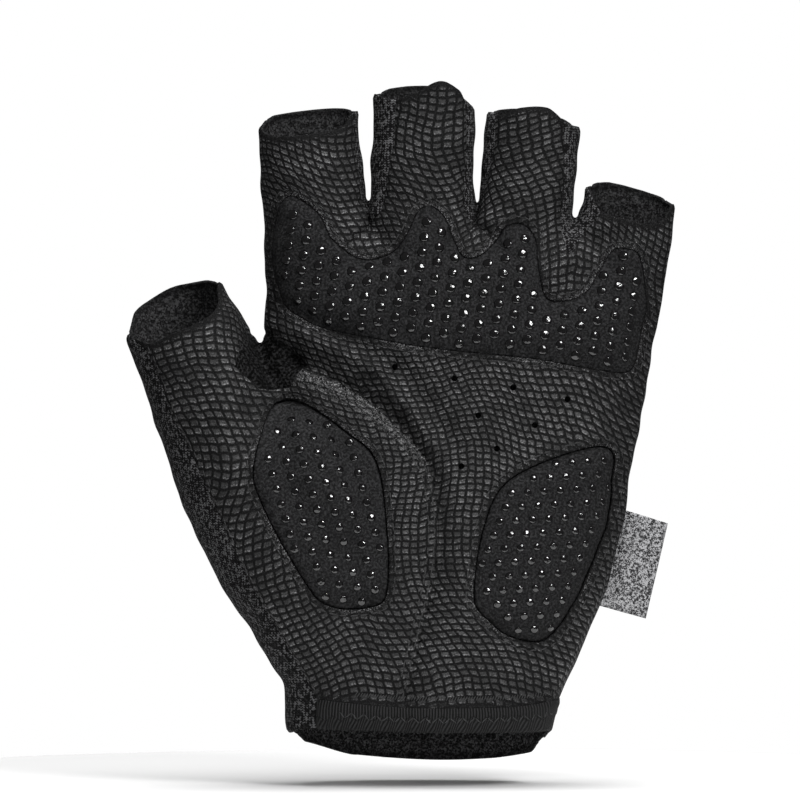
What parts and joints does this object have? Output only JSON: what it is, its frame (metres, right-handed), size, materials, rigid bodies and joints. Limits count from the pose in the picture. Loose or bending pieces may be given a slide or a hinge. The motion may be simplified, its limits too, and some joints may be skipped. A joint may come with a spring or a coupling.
{
  "type": "half-finger sport glove",
  "caption": "Half-finger cycling glove for the left hand, padded leather palm with grip dots and a knit back.",
  "frame": {"origin": "centre of the wrist opening, where the hand goes in and which holds the glove up in its worn form", "axes": "+Z from the wrist to the fingertips, palm faces -Y, thumb towards -X, back of the hand towards +Y"},
  "size_m": [0.1371, 0.0485, 0.1695],
  "materials": {
    "embossed_leather": "embossed scale grain, satin",
    "knit": "fine knit, matte",
    "mesh": "open mesh, matte",
    "grip_pad": "suede-like, matte, with glossy grip dots",
    "ribbed_tape": "fine ribs, matte",
    "label_cloth": "melange weave, matte"
  },
  "bodies": {
    "root": {"palm_panel": "embossed_leather", "thumb_panel": "embossed_leather", "back_panel": "knit", "knuckle_pad": "grip_pad", "thumb_heel_pad": "grip_pad", "outer_heel_pad": "grip_pad", "index_middle_fourchette": "knit", "middle_ring_fourchette": "knit", "ring_little_fourchette": "knit", "thumb_gusset": "mesh", "wrist_tape": "ribbed_tape", "side_tag": "label_cloth"}
  },
  "joints": []
}
